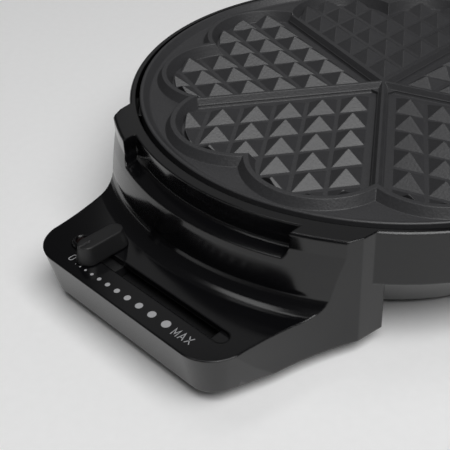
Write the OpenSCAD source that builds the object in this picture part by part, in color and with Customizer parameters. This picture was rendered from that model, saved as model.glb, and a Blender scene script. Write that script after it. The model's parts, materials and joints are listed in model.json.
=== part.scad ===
// Heart waffle maker with a hinged lid and a sliding temperature control.
// Frame: millimetres, +Z up. The origin is on the table, under the centre of the round plates.
// The front, with the control panel, faces -Y. The lid is drawn open, as it is at rest.

/* [What is drawn] */
// angle the lid stands open at rest, degrees
lid_open_angle = 100; // [0:1:105]

/* [Heights above the table] */
// top of the raised heart outlines of the lower plate
ridge_top_z = 54; // [50:0.5:60]
// top of the narrow deck round the plate
deck_z = 52.6; // [48:0.1:58]
// flat control panel
panel_z = 24; // [20:0.5:30]
// lower edge of the housing
skirt_z = 6; // [4:0.5:10]
// plane where the two halves meet when shut
parting_z = 54.5; // [52:0.1:60]

/* [Round body] */
// outer radius of the band round the plate
body_r = 109.5; // [105:0.5:115]
// inner radius of the deck opening
opening_r = 107; // [104:0.5:110]
// radius of the front edge of the deck
front_r = 116.8; // [112:0.1:122]
// radius where the undercut bowl meets the table side
bowl_foot_r = 90; // [80:1:100]
// lower edge of the vertical band
band_foot_z = 30; // [26:1:36]
// moulded wall thickness
wall = 2.5; // [2:0.1:3.5]

/* [Control panel] */
// front edge of the panel
panel_front_y = -152.5; // [-160:0.5:-140]
// rounding of the panel's two front corners
corner_r = 15; // [8:1:20]
// half the panel width at its front corners
panel_half_width = 51.3; // [45:0.1:60]
// radius of the hollowed sides
side_sweep_r = 130; // [90:5:180]
// how far the front leans in towards the table
front_draft = 3.5; // [0:0.5:6]
// radius of the soft foot of the front wall
cove_r = 7; // [4:0.5:10]

/* [Finger recess] */
// half the width of the recess under the handle
recess_half_width = 44; // [35:1:50]
// radius of the recess's back wall
recess_back_r = 111.3; // [109:0.1:114]
// recess floor at its back
recess_floor_z = 43.2; // [40:0.1:48]

/* [Baking plates] */
// outer radius of a plate
plate_r = 105.2; // [100:0.1:106]
// radius of the flat flange inside the rim
flange_r = 101.2; // [98:0.1:103]
// depth of the waffle pockets below the heart ridges
pocket_depth = 5; // [4:0.1:8]
// height of the flange below the heart ridges
flange_drop = 3.6; // [2:0.1:5]
// thickness of the casting under the pockets
plate_floor = 3.5; // [2.5:0.1:6]
// number of hearts
heart_count = 5; // [4:1:6]
// sideways place of a lobe's centre
lobe_x = 20.7; // [15:0.1:25]
// distance of a lobe's centre from the plate centre, along the heart
lobe_y = 65.4; // [55:0.1:75]
// radius of a lobe's ridge line
lobe_r = 28.3; // [24:0.1:32]
// flat width on top of the outer ridge
ridge_width = 2; // [1:0.1:3]
// pitch of the pyramids along each row
pyramid_pitch = 14.02; // [10:0.1:18]
// first pyramid's distance from the plate centre
pyramid_start = 19.83; // [15:0.1:25]
// share of the pitch that a pyramid's foot covers
pyramid_share = 0.87; // [0.7:0.01:0.95]

/* [Sliding control] */
// where the knob stands at its lowest setting
knob_x = -25.45; // [-30:0.05:-20]
// middle of the slot
slot_y = -137.9; // [-145:0.1:-130]
// width of the slot
slot_width = 5.8; // [4:0.1:8]
// left end of the slot
slot_left = -29.5; // [-32:0.1:-28]
// right end of the slot
slot_right = 43.5; // [38:0.1:46]
// travel of the knob
slider_travel = 52; // [40:1:54]
// height of the knob above the panel
knob_height = 7; // [5:0.5:12]
// length of the knob, front to back
knob_length = 22; // [16:0.5:26]
// width of the knob's foot
knob_width = 9.6; // [7:0.1:12]
// tooth size of the rack and its wheel
gear_module = 1.25; // [1:0.05:1.5]
// teeth on the thermostat's wheel
pinion_teeth = 18; // [14:1:22]
// distance of the thermostat's spindle from the plate centre
spindle_y = -88; // [-92:0.5:-84]

/* [Hinge] */
// distance of the hinge line behind the plate centre
hinge_y = 119; // [116:0.5:126]
// radius of the hinge knuckles
knuckle_r = 6.5; // [5:0.5:9]
// radius of the hinge pins
pin_r = 3; // [2:0.1:4]

/* [Hidden] */
$fn = 96;
eps = 0.01;
run = 0.3;                       // gap between pieces that move past each other
heart_angle = 360 / heart_count;
half_heart = heart_angle / 2;
plate_under = -pocket_depth - plate_floor;
row_gap = pyramid_pitch * sin(heart_angle);
heart_tip = 6.2;                 // where a pocket ends, short of the plate centre
side_arc_y = -152;               // the hollowed sides are arcs about this line
corner_y = panel_front_y + corner_r;
corner_x = panel_half_width - corner_r;
side_arc_x = panel_half_width + sqrt(pow(side_sweep_r, 2) - pow(side_arc_y - corner_y, 2));
wing_front = [63.7, -97.9];      // front corner of a wing
wing_back = [66.1, -82];         // rear corner of a wing
cove_start = 120 + cove_r;
inner_z = panel_z - wall;
pitch_r = gear_module * pinion_teeth / 2;
rack_y = spindle_y - pitch_r;
tooth_pitch = PI * gear_module;
carriage_top = inner_z - run;
carriage_foot = carriage_top - 4;
guide_top = carriage_foot - run;
gear_z = carriage_foot - 1;
gear_height = 4.5;
lamp_x = -35.3;
lamp_y = -138.6;
cover_top = skirt_z + wall;
lug_z = 40;
boss_r_out = 98;
element_r = 62;
element_tube = 3.3;
screw_angles = [45, 135, 225, 315];
front_feet = [36, -128];
rear_feet = [42, 60];
cover_front_screw = [45.5, -116];
cover_rear_screw = [57, 57];
guide_screw = [38, slot_y + 10.4];
gland_z = 20;
block_half = 38;
block_back = hinge_y + knuckle_r;
block_top = 47;
handle_half = 41;

black = [0.05, 0.05, 0.055];
dark = [0.11, 0.11, 0.115];
coat = [0.2, 0.2, 0.21];
steel = [0.7, 0.7, 0.72];
zinc = [0.6, 0.61, 0.6];
rubber = [0.08, 0.08, 0.08];
ceramic = [0.88, 0.86, 0.8];
nylon = [0.1, 0.1, 0.1];
amber = [0.8, 0.3, 0.1];

// ---- helpers ----

// Puts a lid piece, drawn shut, where it is with the lid open.
module on_lid() {
    translate([0, hinge_y, parting_z]) rotate([-lid_open_angle, 0, 0])
        translate([0, -hinge_y, -parting_z]) children();
}

// Turns a piece of the lower half into its twin in the shut lid.
module lid_twin() {
    translate([0, 0, 2 * parting_z]) mirror([0, 0, 1]) children();
}

module at_pair(place) {
    for (side = [-1, 1]) translate([side * place[0], place[1], 0]) children();
}

// Plan of the panel and the wings, shrunk by inset and by draft at the front corners.
module apron_plan(inset, draft) {
    difference() {
        union() {
            difference() {
                polygon([[-wing_front[0] + inset, wing_front[1]],
                         [-wing_back[0] + inset, wing_back[1] - inset],
                    [wing_back[0] - inset, wing_back[1] - inset], [wing_front[0] - inset, wing_front[1]],
                    [wing_front[0] - inset, corner_y], [-wing_front[0] + inset, corner_y]]);
                for (side = [-1, 1])
                    translate([side * side_arc_x, side_arc_y]) circle(side_sweep_r + inset);
            }
            for (side = [-1, 1])
                translate([side * corner_x, corner_y]) circle(corner_r - inset - draft);
            translate([-corner_x, panel_front_y + inset + draft])
                square([2 * corner_x, corner_r + 2]);
        }
    }
}

// Screw with a round head, pointing up from z = 0 at the head's underside.
module screw(shank_r, length, head_r, head_height) {
    translate([0, 0, -head_height]) cylinder(h = head_height, r = head_r);
    translate([0, 0, -eps]) cylinder(h = length + eps, r = shank_r);
}

// Four lugs on the inside of a half's wall that carry its plate.
module plate_lugs() {
    for (a = screw_angles) rotate([0, 0, a]) difference() {
        translate([92, -8, lug_z]) cube([16, 16, wall]);
        translate([boss_r_out, 0, lug_z - 1]) cylinder(h = wall + 2, r = 2.2);
    }
}

// ---- housing ----

// Everything inside the front wall's turned surface, with its soft foot.
module front_wall_solid() {
    rotate_extrude() polygon(concat(
        [[0, panel_z - 1], [cove_start + 2, panel_z - 1], [cove_start + 2, panel_z]],
        [for (i = [0:6]) let (a = i * 15)
            [cove_start - cove_r * sin(a), panel_z + cove_r * (1 - cos(a))]],
        [[118.4, 39.3], [front_r, 46], [front_r, deck_z - 0.7], [front_r - 0.7, deck_z], [0, deck_z]]));
}

module apron_skirt() {
    difference() {
        intersection() {
            hull() {
                at_pair([corner_x, corner_y]) translate([0, 0, skirt_z])
                    cylinder(h = panel_z - skirt_z, r1 = corner_r - front_draft, r2 = corner_r, $fn = 72);
                translate([0, 0, skirt_z]) linear_extrude(panel_z - skirt_z)
                    polygon([[-wing_front[0], wing_front[1]], [-wing_back[0], wing_back[1]],
                        [wing_back[0], wing_back[1]], [wing_front[0], wing_front[1]]]);
            }
            translate([-80, -160, skirt_z]) cube([160, 90, 60]);
        }
        for (side = [-1, 1])
            translate([side * side_arc_x, side_arc_y, skirt_z - 1])
                cylinder(h = panel_z - skirt_z + 2, r = side_sweep_r, $fn = 180);
    }
}

module apron_block() {
    intersection() {
        front_wall_solid();
        translate([0, 0, panel_z - 1]) linear_extrude(deck_z - panel_z + 2) apron_plan(0, 0, $fn = 180);
    }
}

module bowl_outside() {
    rotate_extrude($fn = 180) polygon([[0, skirt_z], [bowl_foot_r, skirt_z],
        [body_r - 2.2, band_foot_z - 1.2], [body_r, band_foot_z], [body_r, deck_z - 0.6],
        [body_r - 0.6, deck_z], [0, deck_z]]);
}

module bowl_inside() {
    rotate_extrude($fn = 180) polygon([[0, skirt_z - 1], [bowl_foot_r - wall - 0.6, skirt_z - 1],
        [body_r - wall - 2.4, band_foot_z], [opening_r, band_foot_z + 2.5], [opening_r, deck_z + 1],
        [0, deck_z + 1]]);
}

// Space for fingers in front of the deck, with a gently sloping floor.
module finger_recess() {
    intersection() {
        rotate_extrude($fn = 180) polygon([[recess_back_r, deck_z + 5], [recess_back_r, recess_floor_z],
            [recess_back_r + 0.9, recess_floor_z - 0.5], [front_r + 6, recess_floor_z - 2.2],
            [front_r + 6, deck_z + 5]]);
        rotate([90, 0, 0]) linear_extrude(140) union() {
            translate([-recess_half_width + 8, recess_floor_z - 4])
                square([2 * recess_half_width - 16, 30]);
            translate([-recess_half_width, recess_floor_z + 4])
                square([2 * recess_half_width, 22]);
            for (side = [-1, 1])
                translate([side * (recess_half_width - 8), recess_floor_z + 4]) circle(8);
        }
    }
}

module slot_cut() {
    translate([0, 0, inner_z - 1]) linear_extrude(wall + 2) union() {
        translate([slot_left + slot_width / 2, slot_y - slot_width / 2])
            square([slot_right - 6.2 - slot_left - slot_width / 2, slot_width]);
        translate([slot_left + slot_width / 2, slot_y]) circle(d = slot_width);
    }
    translate([0, 0, panel_z - 1.3]) linear_extrude(2) union() {
        translate([slot_right - 8, slot_y - slot_width / 2])
            square([8 - slot_width / 2, slot_width]);
        translate([slot_right - slot_width / 2, slot_y]) circle(d = slot_width);
    }
}

module hinge_block() {
    difference() {
        union() {
            translate([-block_half, 80, skirt_z]) cube([2 * block_half, block_back - 80, block_top - skirt_z]);
            for (side = [-1, 1]) {
                translate([side * 34 - 4, hinge_y, parting_z]) rotate([0, 90, 0])
                    cylinder(h = 8, r = knuckle_r);
                translate([side * 34 - 4, hinge_y - knuckle_r, block_top - 1])
                    cube([8, 2 * knuckle_r, parting_z - block_top + 1]);
            }
        }
        translate([-block_half - 1, hinge_y, parting_z]) rotate([0, 90, 0])
            cylinder(h = 2 * block_half + 2, r = pin_r + 0.02);
    }
}

module boss(height) {
    difference() {
        cylinder(h = height, r = 3.6);
        translate([0, 0, -1]) cylinder(h = 11, r = 1.5);
    }
}

module base_housing() {
    color(black) difference() {
        union() {
            difference() {
                union() {
                    apron_skirt();
                    apron_block();
                    bowl_outside();
                    hinge_block();
                }
                bowl_inside();
                translate([0, 0, skirt_z - 1]) linear_extrude(inner_z - skirt_z + 1)
                    apron_plan(wall + 0.1, front_draft);
                intersection() {
                    translate([0, 0, inner_z - 1]) linear_extrude(16) apron_plan(wall + 0.1, front_draft);
                    cylinder(h = 80, r = 113.5);
                }
                translate([-block_half + wall, 80, skirt_z - 1])
                    cube([2 * (block_half - wall), block_back - wall - 80, block_top - wall - skirt_z + 1]);
                finger_recess();
            }
            intersection() {
                plate_lugs();
                cylinder(h = 60, r = opening_r + 1);
            }
            at_pair(cover_front_screw) translate([0, 0, cover_top]) boss(inner_z - cover_top + 1);
            at_pair(cover_rear_screw) translate([0, 0, cover_top]) boss(18);
            for (a = [45, 135]) rotate([0, 0, a]) translate([0, 1, 0]) rotate([90, 0, 0]) linear_extrude(2)
                polygon([[83, cover_top + 3], [92.6, cover_top + 3], [103.2, 26], [83, 26]]);
            at_pair(guide_screw) translate([0, 0, guide_top]) boss(inner_z - guide_top + 1);
        }
        slot_cut();
        translate([lamp_x, lamp_y, inner_z - 1]) cylinder(h = wall + 2, r = 2.75);
        translate([0, block_back - wall - 1, gland_z]) rotate([-90, 0, 0]) cylinder(h = wall + 2, r = 6.5);
    }
}

module bottom_cover() {
    color(black) translate([0, 0, skirt_z]) difference() {
        union() {
            cylinder(h = wall, r = bowl_foot_r - wall - 1.2);
            linear_extrude(wall) apron_plan(wall + 0.5, front_draft);
            translate([-22, wing_back[1] - 6, 0]) cube([44, 12, wall]);
            translate([-block_half + wall + 0.4, 60, 0])
                cube([2 * (block_half - wall - 0.4), block_back - wall - 0.4 - 60, wall]);
        }
        at_pair(front_feet) translate([0, 0, -1]) cylinder(h = wall + 2, r = 3.2);
        at_pair(rear_feet) translate([0, 0, -1]) cylinder(h = wall + 2, r = 3.2);
        at_pair(cover_front_screw) translate([0, 0, -1]) cylinder(h = wall + 2, r = 1.9);
        at_pair(cover_rear_screw) translate([0, 0, -1]) cylinder(h = wall + 2, r = 1.9);
        for (side = [-1, 1], i = [0:6])
            translate([side * 22 - 14, -24 + i * 8, -1]) cube([28, 3, wall + 2]);
    }
}

// ---- baking plates; z = 0 is the top of the heart ridges ----

// One lobe's half of a heart, between the heart's axis and its divider.
module half_wedge(inset) {
    tip = max(inset / sin(half_heart) + 0.3, heart_tip);
    polygon([[0, -tip], [0, -120], [120 * tan(half_heart) - inset / cos(half_heart), -120],
        [tip * tan(half_heart) - inset / cos(half_heart), -tip]]);
}

// Inside of a heart that points at the plate centre, shrunk by inset.
module heart_field(inset) {
    heart_half_field(inset);
    mirror([1, 0]) heart_half_field(inset);
}

module heart_half_field(inset) {
    intersection() {
        half_wedge(inset);
        union() {
            translate([lobe_x, -lobe_y]) circle(lobe_r - inset);
            translate([0, -lobe_y]) square([70, lobe_y]);
        }
    }
}

// Raised line round one lobe.
module lobe_ridge() {
    intersection() {
        translate([lobe_x, -lobe_y, 0]) rotate([0, 0, -150]) rotate_extrude(angle = 160) polygon([
            [lobe_r - ridge_width / 2, 0], [lobe_r + ridge_width / 2, 0],
            [lobe_r + ridge_width / 2 + 3.35, -pocket_depth - 0.4],
            [lobe_r - ridge_width / 2 - 2.5, -pocket_depth - 0.4]]);
        translate([0, 0, -20]) linear_extrude(30) half_wedge(-0.3);
    }
}

// Raised line between two hearts, a little lower than the outer line.
module divider_ridge() {
    rotate([90, 0, 0]) linear_extrude(lobe_y + 17.5) polygon([
        [-0.6, -1.2], [0.6, -1.2], [2.87, -pocket_depth - 0.4], [-2.87, -pocket_depth - 0.4]]);
}

// Parallel V-shaped bars along one side of the heart.
module bar_row(turn) {
    drop = pocket_depth - 1;
    foot = row_gap * pyramid_share / 2;
    rotate([0, 0, turn]) for (i = [0:6])
        translate([0, 120, -1]) translate([(turn > 0 ? -1 : 1) * row_gap * (i + pyramid_first), 0, 0])
            rotate([90, 0, 0]) linear_extrude(240) polygon([
                [-0.25, 0], [0.25, 0], [foot * 1.1, -drop * 1.1], [-foot * 1.1, -drop * 1.1]]);
}
pyramid_first = pyramid_start / (2 * cos(half_heart)) / pyramid_pitch;

module heart_pyramids() {
    intersection() {
        bar_row(half_heart);
        bar_row(-half_heart);
        translate([0, 0, -20]) linear_extrude(30) heart_field(4.4);
    }
}

// Half-round channel that the heating element lies in.
module element_channel() {
    translate([0, 0, plate_under - element_tube + 1.2]) rotate_extrude()
        translate([element_r, 0]) circle(element_tube + 0.1);
}

// A whole plate: rim, flange, heart ridges, pyramids, and bosses underneath.
module baking_plate() {
    difference() {
        union() {
            difference() {
                rotate_extrude($fn = 180) polygon([[0, plate_under], [flange_r - 6, plate_under],
                    [flange_r - 1, -flange_drop - 3], [plate_r, -flange_drop - 3], [plate_r, -0.9],
                    [plate_r - 0.4, -0.5], [plate_r - 1.5, -0.6], [flange_r + 0.2, -flange_drop + 0.4],
                    [flange_r - 0.6, -flange_drop], [0, -flange_drop]]);
                for (i = [0:heart_count - 1]) rotate([0, 0, i * heart_angle])
                    translate([0, 0, -pocket_depth]) linear_extrude(pocket_depth + 1) heart_field(2.2);
            }
            for (i = [0:heart_count - 1]) rotate([0, 0, i * heart_angle]) {
                lobe_ridge();
                mirror([1, 0, 0]) lobe_ridge();
                rotate([0, 0, half_heart]) divider_ridge();
                heart_pyramids();
            }
            translate([0, 0, plate_under - 2.6]) rotate_extrude()
                translate([element_r - 6, 0]) square([12, 3.6]);
            for (a = screw_angles) rotate([0, 0, a])
                translate([boss_r_out, 0, lug_z + wall + 0.1 - ridge_top_z]) cylinder(h = 6.2, r = 4);
            translate([0, 0, -22]) cylinder(h = 22 + plate_under + 1, r = 5);
            for (side = [-1, 1]) translate([side * 17, spindle_y + 5, -19.9])
                cylinder(h = 19.9 + plate_under + 1, r = 3.5);
        }
        element_channel();
        for (a = screw_angles) rotate([0, 0, a])
            translate([boss_r_out, 0, -14]) cylinder(h = 6.5, r = 1.8);
        translate([0, 0, -23]) cylinder(h = 9, r = 1.8);
        for (side = [-1, 1]) translate([side * 17, spindle_y + 5, -21]) cylinder(h = 8, r = 1.5);
    }
}

module lower_plate() {
    color(coat) translate([0, 0, ridge_top_z]) baking_plate();
}

// ---- heater and shield ----

module heating_element() {
    translate([0, 0, ridge_top_z + plate_under - element_tube + 1.2]) {
        rotate([0, 0, 110]) rotate_extrude(angle = 320) translate([element_r, 0]) circle(element_tube);
        for (end = [110, 70]) rotate([0, 0, end]) translate([element_r, 0, 0])
            rotate([end > 90 ? 90 : -90, 0, 0]) translate([0, 0, -1]) cylinder(h = 9, r = 1.8);
    }
}

module lower_heating_element() {
    color(steel) heating_element();
}

module heat_shield() {
    translate([0, 0, 30.8]) difference() {
        rotate_extrude()
            polygon([[0, 0], [72, 0], [74, 2], [74, 7], [73.3, 7], [73.3, 2.2], [71.8, 0.7], [0, 0.7]]);
        translate([0, 0, -1]) cylinder(h = 3, r = 2.2);
        for (a = [0:45:315]) rotate([0, 0, a + 20]) translate([50, 0, -1]) cylinder(h = 3, r = 3);
    }
}

module lower_heat_shield() {
    color(zinc) heat_shield();
}

module lower_shield_screw() {
    color(steel) translate([0, 0, 30.7]) screw(1.7, 9, 4, 2);
}

module lower_plate_screws() {
    color(steel) for (a = screw_angles) rotate([0, 0, a])
        translate([boss_r_out, 0, lug_z - 0.05]) screw(1.7, 6, 3.4, 2);
}

// ---- thermostat and its drive ----

module thermostat_body() {
    color(ceramic) translate([0, spindle_y, 0]) difference() {
        union() {
            translate([0, 0, 34.1]) cylinder(h = 11.2, r = 11);
            translate([0, 0, 29]) cylinder(h = 6, r = 4.6);
            for (side = [-1, 1]) translate([side * 9 - 3, 5, 37]) cube([6, 9, 0.8]);
        }
        translate([0, 0, 28]) cylinder(h = 10, r = pin_r + 0.05);
    }
}

module thermostat_bracket() {
    color(zinc) difference() {
        translate([-22, spindle_y - 7, 32.5]) cube([44, 16, 1.5]);
        translate([0, spindle_y, 31]) cylinder(h = 4, r = 4.8);
        for (side = [-1, 1]) translate([side * 17, spindle_y + 5, 31]) cylinder(h = 4, r = 1.8);
    }
}

module thermostat_screws() {
    color(steel) for (side = [-1, 1]) translate([side * 17, spindle_y + 5, 32.4]) screw(1.4, 7, 3, 1.8);
}

// Wheel whose teeth mesh with the rack; a gap of the wheel faces the rack at rest.
module thermostat_pinion() {
    root_r = pitch_r - 1.3 * gear_module;
    tip_r = pitch_r + 0.85 * gear_module;
    color(nylon) translate([0, spindle_y, gear_z]) difference() {
        linear_extrude(gear_height) union() {
            circle(root_r);
            for (i = [0:pinion_teeth - 1]) rotate([0, 0, -90 + (i + 0.5) * 360 / pinion_teeth])
                polygon([[root_r - 1, -1.28], [root_r - 0.1, -1.28], [pitch_r, -0.8], [tip_r, -0.3],
                    [tip_r, 0.3], [pitch_r, 0.8], [root_r - 0.1, 1.28], [root_r - 1, 1.28]]);
        }
        translate([0, 0, -1]) cylinder(h = gear_height + 2, r = pin_r + 0.02);
    }
}

module thermostat_spindle() {
    color(steel) translate([0, spindle_y, 0]) {
        translate([0, 0, gear_z - 3]) cylinder(h = 37.6 - gear_z + 3, r = pin_r);
        translate([0, 0, gear_z + gear_height + 0.05]) cylinder(h = 1.5, r = 5);
    }
}

// ---- sliding control ----

module slider_carriage() {
    rack_left = -slider_travel - 3.4;
    rack_teeth = floor((slider_travel + 6.8) / tooth_pitch);
    color(nylon) union() {
        translate([knob_x - 5, slot_y - 6, carriage_foot]) cube([15, 12, 4]);
        translate([knob_x - 5, slot_y - 1.3, guide_top - 1.7]) cube([12, 2.6, 3]);
        translate([knob_x - 2, slot_y - 2.2, carriage_top - 1]) cube([4, 4.4, panel_z - carriage_top + 1.4]);
        translate([knob_x - 4, slot_y + 5, carriage_foot])
            cube([9, rack_y - 4 - slot_y - 4, 4]);
        translate([rack_left, rack_y - 4.6, gear_z]) cube([slider_travel + 6.8, 3, carriage_top - gear_z]);
        for (i = [-rack_teeth + 1:0])
            translate([i * tooth_pitch, rack_y, gear_z]) linear_extrude(gear_height)
                polygon([[-1.3, -2], [-1.28, -1.5], [-0.8, 0], [-0.45, 1], [0.45, 1], [0.8, 0], [1.28, -1.5],
                    [1.3, -2]]);
    }
}

// Bar-shaped grip with flared sides and a pointer groove on its front end.
module slider_knob() {
    foot_r = knob_width / 2;
    top_r = foot_r - 1.45;
    reach = knob_length / 2 - foot_r;
    color(dark) translate([knob_x, slot_y + 1.4, panel_z + 0.35]) difference() {
        union() {
            for (end = [-1, 1])
                translate([0, end * reach, 0]) cylinder(h = knob_height, r1 = foot_r, r2 = top_r);
            rotate([90, 0, 0]) translate([0, 0, -reach]) linear_extrude(2 * reach)
                polygon([[-foot_r, 0], [foot_r, 0], [top_r, knob_height], [-top_r, knob_height]]);
        }
        translate([-0.35, -knob_length / 2 - 1, knob_height - 0.6]) cube([0.7, 7.5, 2]);
        translate([-2.05, -3.65, -1]) cube([4.1, 4.5, 1.3]);
    }
}

module slider_guide() {
    color(nylon) difference() {
        translate([-42, slot_y - 5.6, guide_top - 2.6]) cube([84, 19.6, 2.6]);
        translate([-31, slot_y - 1.6, guide_top - 2.0]) cube([69, 3.2, 3]);
        translate([lamp_x - 8, slot_y - 5, guide_top - 4]) cube([10.7, 9, 6]);
        at_pair(guide_screw) translate([0, 0, guide_top - 4]) cylinder(h = 6, r = 1.9);
    }
}

module guide_screws() {
    color(steel) at_pair(guide_screw) translate([0, 0, guide_top - 2.65]) screw(1.4, 6, 3, 1.8);
}

module lamp_bezel() {
    color(black) translate([lamp_x, lamp_y, 0]) rotate_extrude() polygon([[2.2, 20.4], [2.7, 20.4],
        [2.7, panel_z], [4.2, panel_z], [3.5, panel_z + 1.5], [3.1, panel_z + 1.8],
        [2.5, panel_z + 1.8], [2.2, panel_z + 1.4]]);
}

module lamp_lens() {
    color(amber) translate([lamp_x, lamp_y, 0]) rotate_extrude() polygon([[0, 21.6], [2.15, 21.6],
        [2.15, panel_z + 1.2], [1.6, panel_z + 1.6], [0.8, panel_z + 1.8], [0, panel_z + 1.85]]);
}

module neon_lamp() {
    color(amber) translate([lamp_x, lamp_y, 0]) {
        translate([0, 0, 12.5]) cylinder(h = 9, r = 2.1);
        for (side = [-1, 1]) translate([side * 1, 0, 9.5]) cylinder(h = 3.5, r = 0.4);
    }
}

// ---- electrics on the bottom cover ----

module terminal_block() {
    color(ceramic) translate([-22, 66, cover_top + 0.05]) difference() {
        cube([36, 16, 12]);
        for (i = [0:2]) translate([6 + i * 12, 8, 6]) cylinder(h = 7, r = 2.4);
        for (i = [0:2]) translate([6 + i * 12, -1, 4]) rotate([-90, 0, 0]) cylinder(h = 18, r = 1.6);
    }
}

module thermal_fuse() {
    color(steel) translate([30, -30, 43.3]) rotate([0, 90, 20]) translate([0, 0, -7]) {
        cylinder(h = 14, r = 2);
        translate([0, 0, -9]) cylinder(h = 32, r = 0.5);
    }
}

module fuse_clip() {
    color(zinc) translate([30, -30, 43.3]) rotate([0, 0, 20]) difference() {
        translate([-3, -3.2, -2.8]) cube([6, 6.4, 4.9]);
        rotate([0, 90, 0]) translate([0, 0, -7]) cylinder(h = 14, r = 2.05);
    }
}

module cord_gland() {
    color(rubber) translate([0, block_back, gland_z]) rotate([-90, 0, 0]) rotate_extrude() polygon([
        [3.6, -8], [5.6, -8], [8.4, -wall - 2], [8.4, -wall - 0.1], [6.4, -wall - 0.1], [6.4, 0.1],
        [8.6, 0.1], [8.2, 2.4], [3.6, 2.4]]);
}

module cord_clamp() {
    color(nylon) translate([0, 100, cover_top + 0.05]) difference() {
        translate([-13, -4, 0]) cube([26, 8, 16]);
        translate([0, -6, gland_z - cover_top]) rotate([-90, 0, 0]) cylinder(h = 12, r = 3.5);
        for (side = [-1, 1]) translate([side * 9, 0, 4]) cylinder(h = 14, r = 1.6);
    }
}

module foot() {
    rotate_extrude() polygon([[0, 0], [7, 0], [8, 1.2], [7.4, skirt_z - 0.05], [3, skirt_z - 0.05],
        [3, cover_top + 0.1],
        [3.8, cover_top + 0.1], [2.4, cover_top + 3], [0, cover_top + 3]]);
}

module foot_front_left() {
    color(rubber) translate([-front_feet[0], front_feet[1], 0]) foot();
}

module foot_front_right() {
    color(rubber) translate([front_feet[0], front_feet[1], 0]) foot();
}

module foot_rear_left() {
    color(rubber) translate([-rear_feet[0], rear_feet[1], 0]) foot();
}

module foot_rear_right() {
    color(rubber) translate([rear_feet[0], rear_feet[1], 0]) foot();
}

module cover_screws() {
    color(steel) {
        at_pair(cover_front_screw) translate([0, 0, skirt_z - 0.05]) screw(1.4, 9, 3.2, 1.8);
        at_pair(cover_rear_screw) translate([0, 0, skirt_z - 0.05]) screw(1.4, 9, 3.2, 1.8);
    }
}

// ---- hinge ----

module hinge_pin_left() {
    color(steel) translate([-38.5, hinge_y, parting_z]) rotate([0, 90, 0]) cylinder(h = 19, r = pin_r);
}

module hinge_pin_right() {
    color(steel) translate([19.5, hinge_y, parting_z]) rotate([0, 90, 0]) cylinder(h = 19, r = pin_r);
}

// ---- lid, drawn shut and then opened ----

module lid_shell() {
    difference() {
        union() {
            rotate_extrude($fn = 180) polygon([[0, 57], [body_r - 0.6, 56.4], [body_r, 57], [body_r, 70],
                [body_r - 1.5, 75.5], [body_r - 5, 80.5], [body_r - 11, 84.5], [body_r - 20, 87.3], [70, 89.5],
                [45, 90.4], [20, 90.9], [0, 90.9]]);
            for (side = [-1, 1]) translate([side * 25.5 - 4, 0, 0]) rotate([90, 0, 90]) linear_extrude(8)
                polygon([[98, 57.5], [hinge_y - 5, 57.5], [hinge_y - 1, parting_z - 3],
                    [hinge_y + 5, parting_z + 3.5],
                    [hinge_y + 2, parting_z + 6], [110, 71], [98, 74]]);
            for (side = [-1, 1]) translate([side * 25.5 - 4, hinge_y, parting_z]) rotate([0, 90, 0])
                cylinder(h = 8, r = knuckle_r);
        }
        rotate_extrude($fn = 180) polygon([[0, 50], [opening_r, 50], [opening_r, 69.5],
            [opening_r - 1.5, 74.3],
            [opening_r - 4.5, 78.5], [opening_r - 10, 82.1], [opening_r - 18.5, 84.8], [69, 87], [0, 88.5]]);
        translate([-40, hinge_y, parting_z]) rotate([0, 90, 0]) cylinder(h = 80, r = pin_r + 0.06);
        for (side = [-1, 1]) rotate([0, 0, -90 + side * 14]) translate([100, 0, 66]) rotate([0, 90, 0])
            cylinder(h = 14, r = 1.9);
    }
    intersection() {
        lid_twin() plate_lugs();
        cylinder(h = 120, r = opening_r + 1);
    }
}

module lid_cover() {
    color(black) on_lid() lid_shell();
}

// Curved grip that hangs over the finger recess.
module lid_handle() {
    color(black) on_lid() difference() {
        intersection() {
            rotate_extrude($fn = 180) polygon([[body_r + 0.05, 59], [body_r + 0.05, 70], [114, 71.5],
                [122, 70.5],
                [127.5, 67.5], [130, 63], [129.5, 58.5], [127, 56.2], [124.5, 57.5], [121, 60.5], [116, 60]]);
            rotate([90, 0, 0]) linear_extrude(140) union() {
                translate([-handle_half + 6, 50]) square([2 * handle_half - 12, 30]);
                translate([-handle_half, 50]) square([2 * handle_half, 15]);
                for (side = [-1, 1]) translate([side * (handle_half - 6), 65]) circle(6);
            }
        }
        for (side = [-1, 1]) rotate([0, 0, -90 + side * 14]) translate([body_r - 2, 0, 66]) rotate([0, 90, 0])
            cylinder(h = 11, r = 1.5);
    }
}

module handle_screws() {
    color(steel) on_lid() for (side = [-1, 1]) rotate([0, 0, -90 + side * 14])
        translate([opening_r - 0.8, 0, 66]) rotate([0, 90, 0]) screw(1.4, 10, 3.2, 1.8);
}

module upper_plate() {
    color(coat) on_lid() lid_twin() translate([0, 0, ridge_top_z]) baking_plate();
}

module upper_heating_element() {
    color(steel) on_lid() lid_twin() heating_element();
}

module upper_heat_shield() {
    color(zinc) on_lid() lid_twin() heat_shield();
}

module upper_plate_screws() {
    color(steel) on_lid() lid_twin() for (a = screw_angles) rotate([0, 0, a])
        translate([boss_r_out, 0, lug_z - 0.05]) screw(1.7, 6, 3.4, 2);
}

module upper_shield_screw() {
    color(steel) on_lid() lid_twin() translate([0, 0, 30.7]) screw(1.7, 9, 4, 2);
}

// ---- draw ----

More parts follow.
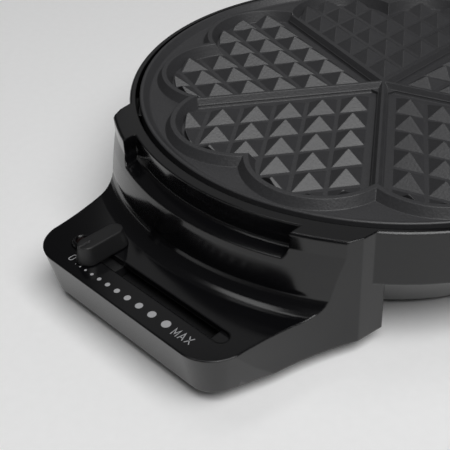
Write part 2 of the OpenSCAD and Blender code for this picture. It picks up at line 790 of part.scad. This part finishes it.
base_housing();
bottom_cover();
lower_plate();
lower_heating_element();
lower_heat_shield();
thermostat_body();
thermostat_bracket();
thermostat_screws();
thermal_fuse();
fuse_clip();
terminal_block();
lamp_bezel();
lamp_lens();
neon_lamp();
slider_guide();
guide_screws();
cord_gland();
cord_clamp();
foot_front_left();
foot_front_right();
foot_rear_left();
foot_rear_right();
cover_screws();
lower_plate_screws();
lower_shield_screw();
hinge_pin_left();
hinge_pin_right();
slider_knob();
slider_carriage();
thermostat_pinion();
thermostat_spindle();
lid_cover();
lid_handle();
handle_screws();
upper_plate();
upper_heating_element();
upper_heat_shield();
upper_plate_screws();
upper_shield_screw();
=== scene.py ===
# %% [markdown]
# # A heart waffle maker in Blender
#
# This lesson dresses a finished CAD model of a waffle maker. The CAD gives the frame: every solid is
# already in its place, in metres, with the origin on the table under the middle of the round plates and the
# front at -Y. We keep those solids, give each one the finish of the real material, add the printed scale
# that CAD leaves out, and light the whole thing like a small product studio.

# %% Load the frame
import json
import math

import bmesh
import bpy
from mathutils import Matrix, Vector


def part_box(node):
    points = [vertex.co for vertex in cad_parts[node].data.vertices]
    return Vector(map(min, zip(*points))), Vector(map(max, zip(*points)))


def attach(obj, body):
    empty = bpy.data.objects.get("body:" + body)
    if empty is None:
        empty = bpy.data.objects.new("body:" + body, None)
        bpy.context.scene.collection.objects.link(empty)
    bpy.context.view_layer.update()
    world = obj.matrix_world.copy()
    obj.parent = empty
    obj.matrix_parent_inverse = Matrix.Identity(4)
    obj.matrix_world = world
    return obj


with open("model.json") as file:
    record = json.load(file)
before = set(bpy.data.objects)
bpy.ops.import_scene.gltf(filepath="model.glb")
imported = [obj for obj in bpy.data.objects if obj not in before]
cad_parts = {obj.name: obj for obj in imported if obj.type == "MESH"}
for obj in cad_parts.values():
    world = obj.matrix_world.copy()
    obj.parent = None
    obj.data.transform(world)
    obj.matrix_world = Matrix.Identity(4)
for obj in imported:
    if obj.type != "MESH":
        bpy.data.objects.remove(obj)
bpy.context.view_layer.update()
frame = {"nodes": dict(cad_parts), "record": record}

MM = 0.001

# %% [markdown]
# ## The camera
#
# A waffle maker looks best from above its front right corner: that view shows the plate, the hollowed front
# wall and the slider at once. The lens is a short telephoto, so the round plate keeps its shape. The lens
# is shifted a little to the left and down, and the right side of the plate runs out of the picture.

# %% Camera
CAMERA_PLACE = Vector((204.4, -280.8, 231.8)) * MM
TURN = math.radians(42.4)
TILT = math.radians(34.92)
ROLL = math.radians(0.18)
SENSOR = 36.0
LENS = 70.8
SHIFT = (-0.156, -0.062)

back = Vector((math.sin(TURN) * math.cos(TILT), -math.cos(TURN) * math.cos(TILT), math.sin(TILT)))
right = Vector((math.cos(TURN), math.sin(TURN), 0.0))
up = back.cross(right)
camera_right = right * math.cos(ROLL) + up * math.sin(ROLL)
camera_up = up * math.cos(ROLL) - right * math.sin(ROLL)

lens_data = bpy.data.cameras.new("camera")
lens_data.lens = LENS
lens_data.sensor_width = SENSOR
lens_data.shift_x, lens_data.shift_y = SHIFT
camera = bpy.data.objects.new("camera", lens_data)
facing = Matrix((camera_right, camera_up, back)).transposed().to_4x4()
camera.matrix_world = Matrix.Translation(CAMERA_PLACE) @ facing
bpy.context.scene.collection.objects.link(camera)
bpy.context.scene.camera = camera
print("camera looks down", round(math.degrees(TILT), 1), "degrees")

# %% [markdown]
# ## Soft boxes
#
# Glossy black plastic shows almost nothing of itself: what we see is the room in it. So the room matters. A
# big soft box stands high on the right, where the pyramid faces that lean towards the lens mirror it, and
# the other faces stay dark. A long one overhead is there for the cove under the deck. A dim card stands
# behind, where the flat panel and the deck mirror it and get their sheen. One function makes them all.

# %% Soft boxes
AIM = Vector((0.0, -0.03, 0.05))


def soft_box(name, direction, distance, size, power):
    """A rectangular lamp that faces the object; direction is from the object, sizes in m, power in W."""
    light_data = bpy.data.lights.new(name, "AREA")
    light_data.shape = "RECTANGLE"
    light_data.size, light_data.size_y = size
    light_data.energy = power
    light = bpy.data.objects.new(name, light_data)
    light.location = AIM + direction.normalized() * distance
    light.rotation_euler = direction.to_track_quat("Z", "Y").to_euler()
    bpy.context.scene.collection.objects.link(light)
    print(name, "stands", round(math.degrees(math.asin(direction.normalized().z))), "degrees up")


soft_box("key", Vector((0.47, -0.15, 0.87)), distance=1.6, size=(1.2, 1.2), power=24.0)
soft_box("overhead", Vector((-0.34, 0.02, 0.94)), distance=1.3, size=(0.8, 0.3), power=1.5)
soft_box("back_card", Vector((-0.50, 0.64, 0.57)), distance=1.6, size=(1.1, 0.8), power=0.55)

# %% [markdown]
# ## Colours and nodes
#
# Designers name colours in sRGB hex, while the renderer works in linear light, so one function turns the
# first into the second. Another small function adds a shader node, gives it its settings and joins its
# inputs: the sky and every material below are built with it. The picture is shown with the plain sRGB curve
# of the Standard view.

# %% Colours and nodes
def linear(hex_colour):
    """Linear RGBA of an sRGB hex colour."""
    parts = [int(hex_colour[i:i + 2], 16) / 255 for i in (1, 3, 5)]
    return (*[p / 12.92 if p <= 0.04045 else ((p + 0.055) / 1.055) ** 2.4 for p in parts], 1.0)


def add(tree, kind, inputs=None, **settings):
    """Adds one node; each input is a value, or the socket that feeds it."""
    node = tree.nodes.new(kind)
    for name, value in settings.items():
        setattr(node, name, value)
    for name, value in (inputs or {}).items():
        if isinstance(value, bpy.types.NodeSocket):
            tree.links.new(value, node.inputs[name])
        else:
            node.inputs[name].default_value = value
    return node


bpy.context.scene.view_settings.view_transform = "Standard"
print("mid grey is", round(linear("#808080")[0], 3), "in linear light")

# %% [markdown]
# ## Sky
#
# A dim grey sky keeps the faces that look away from the soft boxes dark, which gives the waffle pattern its
# contrast. Where the lens looks past the floor it sees a pale paper roll instead, as in a studio. The Light
# Path node tells the two apart: only rays that come straight from the lens see the roll. Both are plain
# strengths of light and not paint, so they are written as linear values.

# %% Sky
SKY_GREY = (0.42, 0.42, 0.425, 1.0)
SKY_STRENGTH = 0.10
ROLL_GREY = (0.42, 0.42, 0.42, 1.0)

world = bpy.data.worlds.new("studio")
bpy.context.scene.world = world
world.use_nodes = True
tree = world.node_tree
sky = tree.nodes["Background"]
sky.inputs["Color"].default_value = SKY_GREY
sky.inputs["Strength"].default_value = SKY_STRENGTH
roll = add(tree, "ShaderNodeBackground", {"Color": ROLL_GREY})
seen = add(tree, "ShaderNodeLightPath")
either = add(tree, "ShaderNodeMixShader", {0: seen.outputs["Is Camera Ray"], 1: sky.outputs["Background"],
                                           2: roll.outputs["Background"]})
tree.links.new(either.outputs["Shader"], tree.nodes["World Output"].inputs["Surface"])
print("sky", round(SKY_GREY[0] * SKY_STRENGTH, 3), "paper roll", ROLL_GREY[0])

# %% [markdown]
# ## What all finishes share
#
# Real surfaces are never one even colour, so each finish drifts between two close tones and between two
# values of roughness, driven by a pattern. Textures use the object's own metres, so pattern sizes can be
# written in millimetres. Real edges are never razor sharp either: the Bevel node rounds them in the
# shading, and the fine relief of the surface is laid over it as a bump. The solids keep their size.

# %% Helpers for materials
def per_mm(size_mm):
    """Texture scale whose features are about size_mm across, for coordinates in metres."""
    return 1000.0 / size_mm


def new_material(name, metallic=0.0, ior=1.5):
    """A material with its tree, its main shader and its place in the object's own metres."""
    material = bpy.data.materials.new(name)
    material.use_nodes = True
    tree = material.node_tree
    shader = tree.nodes["Principled BSDF"]
    shader.inputs["Metallic"].default_value = metallic
    shader.inputs["IOR"].default_value = ior
    place = add(tree, "ShaderNodeTexCoord").outputs["Object"]
    return material, tree, shader, place


def colour_between(tree, factor, low, high):
    """A ramp of two hex colours, driven by a pattern."""
    ramp = add(tree, "ShaderNodeValToRGB", {"Fac": factor})
    ramp.color_ramp.elements[0].color = linear(low)
    ramp.color_ramp.elements[1].color = linear(high)
    return ramp.outputs["Color"]


def value_between(tree, factor, low, high):
    """A pattern's 0 to 1 stretched to a range of a real value such as roughness."""
    return add(tree, "ShaderNodeMapRange", {"Value": factor, "To Min": low, "To Max": high}).outputs["Result"]


def lay_skin(tree, shader, pattern, strength, depth_mm, round_mm, samples=6):
    """Rounds the edges in the shading and lays a pattern over them as fine relief."""
    rounded = add(tree, "ShaderNodeBevel", {"Radius": round_mm * MM}, samples=samples)
    skin = add(tree, "ShaderNodeBump", {"Height": pattern, "Strength": strength, "Distance": depth_mm * MM,
                                        "Normal": rounded.outputs["Normal"]})
    tree.links.new(skin.outputs["Normal"], shader.inputs["Normal"])


materials = {}
print("2 mm pattern scale:", per_mm(2.0))

# %% [markdown]
# ### Gloss black ABS: housing, lid, grip and lamp bezel
#
# The shells are injection moulded in ABS against a polished tool. The eye sees a deep black with mirror
# clear reflections, thin bright lines along the rounded edges and, close up, the faint orange peel of the
# moulding. ABS has an IOR near 1.54. Handling leaves a haze that drifts over some centimetres, so the gloss
# isn't even.

# %% Gloss ABS
ABS_IOR = 1.54
SHELL_ROUND_MM = 1.0
PEEL_MM = 3.0
HAZE_MM = 45.0

abs_gloss, tree, shader, place = new_material("abs_polished_black", ior=ABS_IOR)
haze = add(tree, "ShaderNodeTexNoise", {"Vector": place, "Scale": per_mm(HAZE_MM), "Detail": 3.0})
peel = add(tree, "ShaderNodeTexNoise", {"Vector": place, "Scale": per_mm(PEEL_MM), "Detail": 1.0})
tree.links.new(colour_between(tree, haze.outputs["Fac"], "#070708", "#0c0c0e"), shader.inputs["Base Color"])
tree.links.new(value_between(tree, haze.outputs["Fac"], 0.10, 0.17), shader.inputs["Roughness"])
lay_skin(tree, shader, peel.outputs["Fac"], strength=0.01, depth_mm=0.1, round_mm=SHELL_ROUND_MM)
materials["gloss_shell"] = abs_gloss
print("gloss ABS done")

# %% [markdown]
# ### Satin black ABS: the slider's knob
#
# The knob is the same plastic from a spark-eroded tool. The tool's fine pits scatter the light, so the knob
# looks a softer grey than the shell and gives the finger some hold. They are drawn at 0.35 mm, coarser than
# real pits of some hundredths of a millimetre, so that they show.

# %% Satin ABS
SPARK_PIT_MM = 0.35

abs_satin, tree, shader, place = new_material("abs_spark_eroded_black", ior=ABS_IOR)
pits = add(tree, "ShaderNodeTexNoise", {"Vector": place, "Scale": per_mm(SPARK_PIT_MM), "Detail": 2.0})
tree.links.new(colour_between(tree, pits.outputs["Fac"], "#131314", "#1c1c1d"), shader.inputs["Base Color"])
tree.links.new(value_between(tree, pits.outputs["Fac"], 0.38, 0.5), shader.inputs["Roughness"])
lay_skin(tree, shader, pits.outputs["Fac"], strength=0.15, depth_mm=0.05, round_mm=SHELL_ROUND_MM)
materials["knob"] = abs_satin
print("satin ABS done")

# %% [markdown]
# ### Non-stick coated cast aluminium: both baking plates
#
# The plates are die cast, shot blasted and sprayed with a PTFE coat that holds mineral flakes. The blast
# leaves a fine grain that the coat softens, and the flakes show as paler specks. The sheen drifts in clouds
# of some centimetres, as the spray lands. The coat hides the metal, so the shader isn't metallic: it is a
# dark grey with a broad satin highlight. Grain and flakes are drawn coarser than real, so that they show.

# %% Coated aluminium
GRAIN_MM = 0.9
FLAKE_MM = 1.3
CLOUD_MM = 30.0
FLAKE_REACH = 0.22
FLAKE_COVER = 0.35

coated, tree, shader, place = new_material("cast_aluminium_ptfe_coat", ior=1.5)
grain = add(tree, "ShaderNodeTexNoise", {"Vector": place, "Scale": per_mm(GRAIN_MM), "Detail": 4.0})
flakes = add(tree, "ShaderNodeTexVoronoi", {"Vector": place, "Scale": per_mm(FLAKE_MM)})
cloud = add(tree, "ShaderNodeTexNoise", {"Vector": place, "Scale": per_mm(CLOUD_MM), "Detail": 2.0})
tone = colour_between(tree, grain.outputs["Fac"], "#303031", "#3e3e40")
share = add(tree, "ShaderNodeMapRange", {"Value": flakes.outputs["Distance"], "From Min": 0.0,
                                         "From Max": FLAKE_REACH, "To Min": FLAKE_COVER, "To Max": 0.0})
speckled = add(tree, "ShaderNodeMixRGB", {"Fac": share.outputs["Result"], "Color1": tone,
                                          "Color2": linear("#5c5c5e")})
tree.links.new(speckled.outputs["Color"], shader.inputs["Base Color"])
tree.links.new(value_between(tree, cloud.outputs["Fac"], 0.36, 0.46), shader.inputs["Roughness"])
lay_skin(tree, shader, grain.outputs["Fac"], strength=0.6, depth_mm=0.15, round_mm=0.5)
materials["coated_plate"] = coated
print("coated aluminium done")

# %% [markdown]
# ### One grain for the plainer finishes
#
# The pieces inside and underneath are plainer, and one pattern is enough for each: the same grain moves the
# tone, the roughness and the relief together, as it does on a moulded, fired or plated skin. So one
# function makes them, and each finish below says its two tones, the size of its grain, its range of
# roughness and its depth.

# %% A grained finish
SMALL_ROUND_MM = 0.3


def grained(name, tones, grain_mm, rough, depth_mm, ior=1.5, metallic=0.0):
    """A finish with one grain; tones and rough are the values between which it moves."""
    material, tree, shader, place = new_material(name, metallic=metallic, ior=ior)
    grain = add(tree, "ShaderNodeTexNoise", {"Vector": place, "Scale": per_mm(grain_mm), "Detail": 3.0})
    tree.links.new(colour_between(tree, grain.outputs["Fac"], *tones), shader.inputs["Base Color"])
    tree.links.new(value_between(tree, grain.outputs["Fac"], *rough), shader.inputs["Roughness"])
    lay_skin(tree, shader, grain.outputs["Fac"], 0.5, depth_mm, SMALL_ROUND_MM, samples=4)
    return material


print("edges of plain pieces are rounded by", SMALL_ROUND_MM, "mm")

# %% [markdown]
# ### Polypropylene: the bottom cover
#
# The cover is moulded in a grained tool. Polypropylene is a little waxy and scatters more light than ABS,
# and nobody looks at the underside, so it is left matt: a dark grey-black without clear reflections.

# %% Polypropylene
materials["cover"] = grained("polypropylene_grained_black", ("#0d0d0e", "#151516"), grain_mm=0.6,
                             rough=(0.45, 0.6), depth_mm=0.08, ior=1.49)
print("polypropylene done")

# %% [markdown]
# ### Glass-filled nylon: guide, carriage, wheel and cord clamp
#
# Black nylon with glass fibre stays stiff and slippery when warm. Fibres near the surface make the moulding
# slightly mottled, with a dull sheen.

# %% Nylon
materials["nylon"] = grained("nylon_glass_filled_black", ("#101011", "#19191a"), grain_mm=1.0,
                             rough=(0.4, 0.5), depth_mm=0.02, ior=1.53)
print("nylon done")

# %% [markdown]
# ### Moulded rubber: feet and cord gland
#
# Rubber grips the table because it is soft and dry to the touch. It takes almost no highlight, so it is the
# roughest finish of the object.

# %% Rubber
materials["rubber"] = grained("rubber_moulded_black", ("#101010", "#1a1a1a"), grain_mm=0.8,
                              rough=(0.7, 0.85), depth_mm=0.06, ior=1.52)
print("rubber done")

# %% [markdown]
# ### Steatite ceramic: thermostat and terminal block
#
# Pressed and fired steatite is a cream-coloured ceramic with a dry, slightly sandy skin. It insulates parts
# that carry mains current beside hot metal.

# %% Ceramic
materials["ceramic"] = grained("steatite_ceramic", ("#d6cfbd", "#e6e0d2"), grain_mm=1.2,
                               rough=(0.5, 0.62), depth_mm=0.03, ior=1.6)
print("ceramic done")

# %% [markdown]
# ### Oxidised tube: the heating elements
#
# The tubes are a nickel and iron alloy that turns a warm brown grey when first heated. The oxide still lets
# the metal through, so it is metallic: the tones are the colour of its reflection.

# %% Heating tube
materials["element"] = grained("alloy_tube_oxidised", ("#4a4541", "#6a645e"), grain_mm=1.5,
                               rough=(0.35, 0.55), depth_mm=0.02, metallic=1.0)
print("heating tube done")

# %% [markdown]
# ### Galvanised sheet: heat shields, thermostat bracket and fuse clip
#
# These are stamped from sheet steel that was dipped in zinc. The zinc sets in crystals, which show as patches of
# some millimetres, each a little lighter or darker.

# %% Sheet steel
materials["sheet_steel"] = grained("galvanised_sheet", ("#8f9292", "#b5b8b8"), grain_mm=6.0,
                                   rough=(0.3, 0.45), depth_mm=0.01, metallic=1.0)
print("sheet steel done")

# %% [markdown]
# ### Zinc-plated steel: screws, hinge pins, spindle and fuse
#
# Small steel pieces are plated in a barrel: bright, slightly dulled by rubbing against each other, with a
# fine grain.

# %% Plated steel
materials["steel"] = grained("zinc_plated_steel", ("#9c9c9e", "#b9b9bb"), grain_mm=0.8,
                             rough=(0.25, 0.38), depth_mm=0.01, metallic=1.0)
print("plated steel done")

# %% [markdown]
# ### The lamp: smoked lens and neon tube
#
# The lens is smoked polycarbonate, polished, and nearly black while the lamp is off, as it is here. It is
# made as an opaque dark gloss, because no light comes through it. The little tube behind it takes the
# orange of its electrodes. Both are smooth, so their grain has no depth.

# %% Lamp
materials["lamp_lens"] = grained("polycarbonate_smoked", ("#100808", "#180b0a"), grain_mm=3.0,
                                 rough=(0.1, 0.16), depth_mm=0.0, ior=1.58)
materials["neon_glass"] = grained("neon_tube_glass", ("#c0602c", "#e08040"), grain_mm=2.0,
                                  rough=(0.05, 0.1), depth_mm=0.0)
print("lamp done")

# %% [markdown]
# ### Printing ink
#
# The ink is a pale grey paint that dries to a flat film, a little uneven where the pad lifted off.

# %% Ink
materials["print"] = grained("pad_print_ink_grey", ("#9a9a9c", "#a8a8aa"), grain_mm=0.5,
                             rough=(0.5, 0.6), depth_mm=0.01)
print("finishes:", sorted(materials))

# %% [markdown]
# ## Dressing the CAD pieces
#
# The record names a material slot for each CAD piece, so one loop dresses them all.

# %% Finish of every CAD node
slot_of = {part["node"]: part["material_slot"] for part in frame["record"]["subparts"]}
for name, node in frame["nodes"].items():
    node.data.materials.clear()
    node.data.materials.append(materials[slot_of[name]])
print("dressed", len(slot_of), "nodes")

# %% [markdown]
# ## Floor
#
# The object stands on a sheet of smooth white paper: matt, with fibres that shift its tone by a hair. The
# glossy skirts mirror it. It isn't part of the object, so it rides on no body.

# %% Floor
FLOOR_SIDE = 2.6
PAPER_FIBRE_MM = 4.0

paper, tree, shader, place = new_material("studio_paper")
fibre = add(tree, "ShaderNodeTexNoise", {"Vector": place, "Scale": per_mm(PAPER_FIBRE_MM), "Detail": 2.0})
tree.links.new(colour_between(tree, fibre.outputs["Fac"], "#f4f4f4", "#f8f8f8"), shader.inputs["Base Color"])
shader.inputs["Roughness"].default_value = 0.9

corners = [(x * FLOOR_SIDE / 2, y * FLOOR_SIDE / 2, 0) for x, y in ((-1, -1), (1, -1), (1, 1), (-1, 1))]
floor_mesh = bpy.data.meshes.new("floor")
floor_mesh.from_pydata(corners, [], [(0, 1, 2, 3)])
floor_mesh.materials.append(paper)
floor = bpy.data.objects.new("floor", floor_mesh)
bpy.context.scene.collection.objects.link(floor)
print("floor is", FLOOR_SIDE, "m square")

# %% [markdown]
# ## The printed scale
#
# The heat scale is pad printed on the panel after moulding: a film of pale grey ink some hundredths of a
# millimetre thick. It reads "0", then a row of dots that grow to the right, then "MAX". CAD leaves print
# out, so we lay it on as thin raised shapes: discs for the dots and ribbons of constant width for the
# strokes. The panel's height is measured from the knob, which hangs a hair above it.

# %% Helpers for print
KNOB_GAP = 0.35 * MM
PANEL_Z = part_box("slider_knob")[0].z - KNOB_GAP
INK = 0.04 * MM
DISC_SIDES = 40
MITRE_LIMIT = 0.35


def disc(mesh, x, y, diameter):
    """A flat disc of ink on the panel, in millimetres."""
    place = Matrix.Translation((x * MM, y * MM, PANEL_Z + INK / 2))
    bmesh.ops.create_cone(mesh, cap_ends=True, segments=DISC_SIDES, radius1=diameter / 2 * MM,
                          radius2=diameter / 2 * MM, depth=INK, matrix=place)


def stroke(mesh, points, width, closed=False):
    """A ribbon of ink along a line of points, in millimetres, with mitred corners."""
    count = len(points)
    sides = []
    for i, point in enumerate(points):
        before = points[(i - 1) % count] if closed or i > 0 else None
        after = points[(i + 1) % count] if closed or i < count - 1 else None
        arrive = (point - before).normalized() if before is not None else None
        leave = (after - point).normalized() if after is not None else None
        if arrive is None:
            arrive = leave
        if leave is None:
            leave = arrive
        normal = Vector((-(arrive + leave).y, (arrive + leave).x)).normalized()
        reach = width / 2 / max(MITRE_LIMIT, normal.dot(Vector((-leave.y, leave.x))))
        sides.append((point + normal * reach, point - normal * reach))
    rings = []
    for pair in sides:
        rings.append([mesh.verts.new((p.x * MM, p.y * MM, PANEL_Z + z)) for p in pair for z in (INK, 0.0)])
    steps = range(count if closed else count - 1)
    for i in steps:
        a, b = rings[i], rings[(i + 1) % count]
        for face in ((0, 2, 2, 0), (1, 0, 0, 1), (2, 3, 3, 2), (3, 1, 1, 3)):
            mesh.faces.new((a[face[0]], a[face[1]], b[face[2]], b[face[3]]))
    if not closed:
        for ring in (rings[0], rings[-1]):
            mesh.faces.new((ring[0], ring[1], ring[3], ring[2]))


def piece_from(name, mesh, slot, body):
    """Turns a bmesh into a piece of the object, riding on a body."""
    bmesh.ops.recalc_face_normals(mesh, faces=mesh.faces)
    data = bpy.data.meshes.new(name)
    mesh.to_mesh(data)
    mesh.free()
    data.materials.append(materials[slot])
    piece = bpy.data.objects.new(name, data)
    bpy.context.scene.collection.objects.link(piece)
    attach(piece, body)
    return piece


print("panel height:", round(PANEL_Z * 1000, 2), "mm")

# %% Growing dots
DOTS = 11
FIRST_DOT = Vector((-26.8, -147.9))
FIRST_SIZE = 0.4
SIZE_GROWTH = 0.315
STEP = 2.3
STEP_GROWTH = 0.262
ROW_RISE = 0.15

dots = bmesh.new()
for i in range(DOTS):
    x = FIRST_DOT.x + STEP * i + STEP_GROWTH * i * i
    disc(dots, x, FIRST_DOT.y + ROW_RISE * i, FIRST_SIZE + SIZE_GROWTH * i)
piece_from("printed_dots", dots, "print", "base")
print("dots end at x =", round(x, 1), "mm")

# %% Zero and MAX
LETTER = 3.3
LETTER_WIDTH = 2.1
LETTER_GAP = 3.15
LINE = 0.4
WORD_PLACE = Vector((27.0, -148.6))
WORD_TURN = Matrix.Rotation(math.radians(4.5), 2)
ZERO_PLACE = Vector((-30.7, -146.3))
ZERO_ROUND = 0.85
ZERO_STRETCH = 0.75
ZERO_POINTS = 32
GLYPHS = {
    "M": [[(0, 0), (0, 1), (0.5, 0.3), (1, 1), (1, 0)]],
    "A": [[(0, 0), (0.5, 1), (1, 0)], [(0.2, 0.32), (0.8, 0.32)]],
    "X": [[(0, 0), (1, 1)], [(0, 1), (1, 0)]],
}

words = bmesh.new()
for place_in_word, letter in enumerate("MAX"):
    for line in GLYPHS[letter]:
        along = place_in_word * LETTER_GAP
        points = [WORD_PLACE + WORD_TURN @ Vector((px * LETTER_WIDTH + along, py * LETTER))
                  for px, py in line]
        stroke(words, points, LINE)
zero = []
for i in range(ZERO_POINTS):
    a = 2 * math.pi * i / ZERO_POINTS
    stretch = ZERO_STRETCH if math.sin(a) > 0 else -ZERO_STRETCH
    zero.append(ZERO_PLACE + Vector((ZERO_ROUND * math.cos(a), ZERO_ROUND * math.sin(a) + stretch)))
stroke(words, zero, LINE, closed=True)
piece_from("printed_words", words, "print", "base")
print("words printed")

# %% [markdown]
# ## The end
#
# Nothing more is built here: every piece is dressed, the print is laid on and the studio is lit.

# %% End
print("scene ready")
